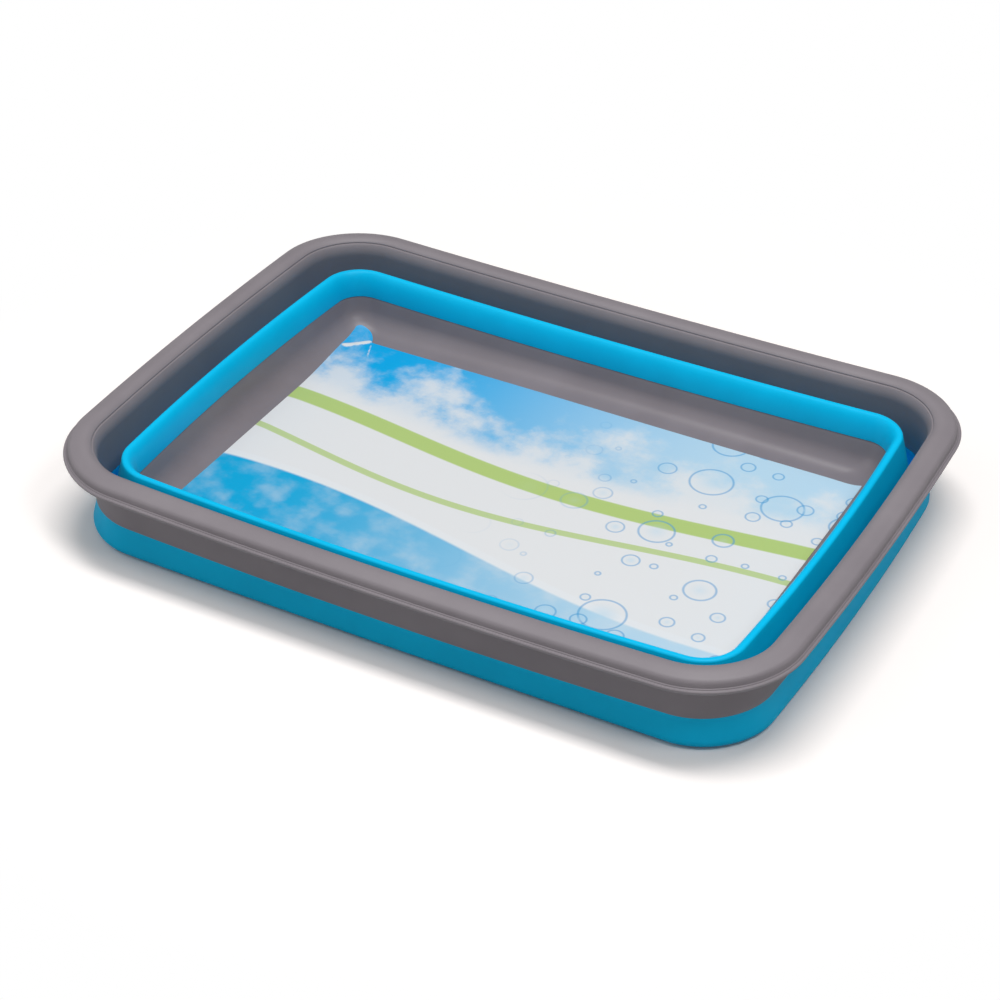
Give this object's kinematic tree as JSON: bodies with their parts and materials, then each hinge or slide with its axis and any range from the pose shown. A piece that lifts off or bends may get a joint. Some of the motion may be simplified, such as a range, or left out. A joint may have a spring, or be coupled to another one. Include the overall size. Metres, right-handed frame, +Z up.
{
  "type": "collapsible wash basin",
  "caption": "Rectangular washing-up basin that folds flat: a stiff flanged rim and a stiff coved base tray joined by a soft folding wall, for carrying water and dishes.",
  "frame": {"origin": "on the ground under the middle of the folded basin", "axes": "+X along the long side, +Y along the short side, +Z up out of the bowl"},
  "size_m": [0.385, 0.28, 0.0496],
  "materials": {
    "warm_grey_plastic": "satin warm grey polypropylene",
    "blue_soft_wall": "satin blue thermoplastic rubber",
    "coated_paper": "printed coated paper"
  },
  "bodies": {
    "base": {"base_tray": "warm_grey_plastic", "lower_wall": "blue_soft_wall", "paper_label": "coated_paper"},
    "fold": {"fold_wall": "blue_soft_wall"},
    "rim": {"rim_frame": "warm_grey_plastic", "upper_wall": "blue_soft_wall"}
  },
  "joints": [
    {"name": "rim_lift", "type": "slide", "parent": "base", "child": "rim", "axis": [0, 0, 1], "range_m": [0, 0.0709]},
    {"name": "fold_rise", "type": "slide", "parent": "base", "child": "fold", "axis": [0, 0, 1], "range_m": [0, 0.03545]}
  ],
  "couplings": [
    {"joint": "fold_rise", "follows": "rim_lift", "ratio": 0.5}
  ]
}
